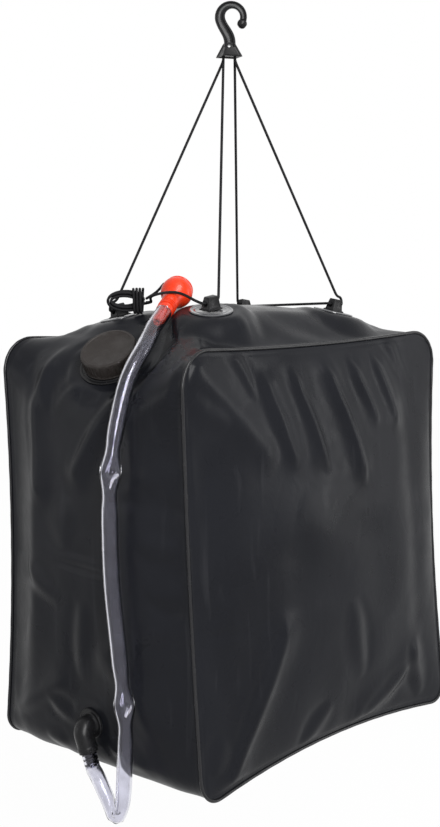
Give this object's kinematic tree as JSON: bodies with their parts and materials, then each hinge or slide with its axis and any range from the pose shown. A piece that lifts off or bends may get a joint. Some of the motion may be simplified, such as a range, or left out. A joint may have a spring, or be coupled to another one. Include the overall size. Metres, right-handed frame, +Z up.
{
  "type": "camp_shower_bag",
  "caption": "Box-shaped water bag of dark welded film, hung by one cord from a moulded hook, with a screw filler cap on its shoulder, an outlet elbow, a clear hose and a pull-to-open shower head.",
  "frame": {"origin": "where the hook's inner curve bears on what holds it", "axes": "+Z up; the front panel faces -Y; the filler cap, the outlet and the hose are on the -X side"},
  "size_m": [0.4343, 0.2862, 0.749],
  "materials": {
    "black_film": "satin",
    "black_weld": "satin",
    "clear_patch": "gloss",
    "black_plastic": "satin",
    "cap_plastic": "satin",
    "seal_rubber": "matte",
    "clear_hose": "gloss",
    "head_plastic": "gloss",
    "cord_braid": "woven"
  },
  "bodies": {
    "bag": {"front_panel": "black_film", "rear_panel": "black_film", "gusset_wrap": "black_film", "front_piping": "black_weld", "rear_piping": "black_weld", "lug_patch_front_left": "clear_patch", "lug_patch_front_right": "clear_patch", "lug_patch_rear_left": "clear_patch", "lug_patch_rear_right": "clear_patch", "lug_loop_front_left": "black_plastic", "lug_loop_front_right": "black_plastic", "lug_loop_rear_left": "black_plastic", "lug_loop_rear_right": "black_plastic", "filler_neck": "black_plastic", "outlet_elbow": "black_plastic", "outlet_washer": "seal_rubber", "outlet_nut": "black_plastic", "hose": "clear_hose", "head_stem": "head_plastic", "stem_seal": "seal_rubber", "hanger_hook": "black_plastic", "suspension_cord": "cord_braid", "cord_hank": "cord_braid", "hank_tie": "cord_braid", "cord_tail": "cord_braid"},
    "cap_seal": {"cap_gasket": "seal_rubber"},
    "cap": {"filler_cap": "cap_plastic"},
    "spray_head": {"spray_dome": "head_plastic", "spray_plate": "head_plastic"}
  },
  "joints": [
    {"name": "cap_rise", "type": "slide", "parent": "bag", "child": "cap_seal", "axis": [-0.5755, -0.176, 0.7986], "range_m": [0, 0.0126]},
    {"name": "cap_turn", "type": "hinge", "parent": "cap_seal", "child": "cap", "pos_m": [-0.1615, 0.002, -0.3356], "axis": [-0.5755, -0.176, 0.7986], "range_deg": [0, 900]},
    {"name": "spray_pull", "type": "slide", "parent": "bag", "child": "spray_head", "axis": [0.8242, 0.3584, 0.4384], "range_m": [0, 0.006]}
  ],
  "couplings": [
    {"joint": "cap_rise", "follows": "cap_turn", "m_per_rad": 0.00079577}
  ]
}
